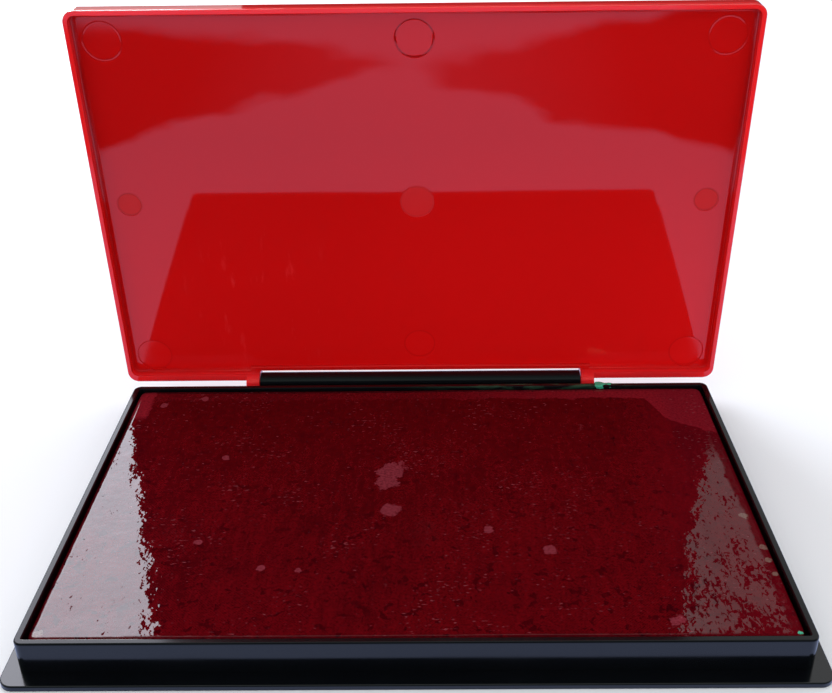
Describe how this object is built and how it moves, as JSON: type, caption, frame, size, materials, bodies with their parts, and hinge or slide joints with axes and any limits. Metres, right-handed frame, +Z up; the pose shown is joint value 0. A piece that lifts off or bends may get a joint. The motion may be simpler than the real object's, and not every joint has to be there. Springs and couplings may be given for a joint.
{
  "type": "ink pad",
  "caption": "Flat hinged-lid ink pad: black plastic tray with a foot flange, dark red inked cloth pad, and a glossy red lid standing open on a long barrel hinge.",
  "frame": {"origin": "centre of the tray's flat underside, on the surface it rests on", "axes": "+X along the hinge to the right, -Y the open front edge towards the user, +Z up; rest pose has the lid standing open"},
  "size_m": [0.157, 0.1047, 0.1068],
  "materials": {
    "tray_black": "moulded gloss black",
    "lid_red": "moulded gloss red, slightly wavy",
    "inked_cloth": "fine weave, wet with dark red ink",
    "inked_felt": "ink-soaked felt",
    "board_grey": "plain grey board",
    "adhesive_white": "double-sided adhesive strip"
  },
  "bodies": {
    "base": {"base_tray": "tray_black", "pad_cloth": "inked_cloth", "pad_felt": "inked_felt", "backing_board": "board_grey", "adhesive_strip_front": "adhesive_white", "adhesive_strip_back": "adhesive_white"},
    "lid": {"lid": "lid_red"}
  },
  "joints": [
    {"name": "lid_hinge", "type": "hinge", "parent": "base", "child": "lid", "pos_m": [0, 0.0513, 0.00585], "axis": [-1, 0, 0], "range_deg": [-86.1, 93.9]}
  ]
}
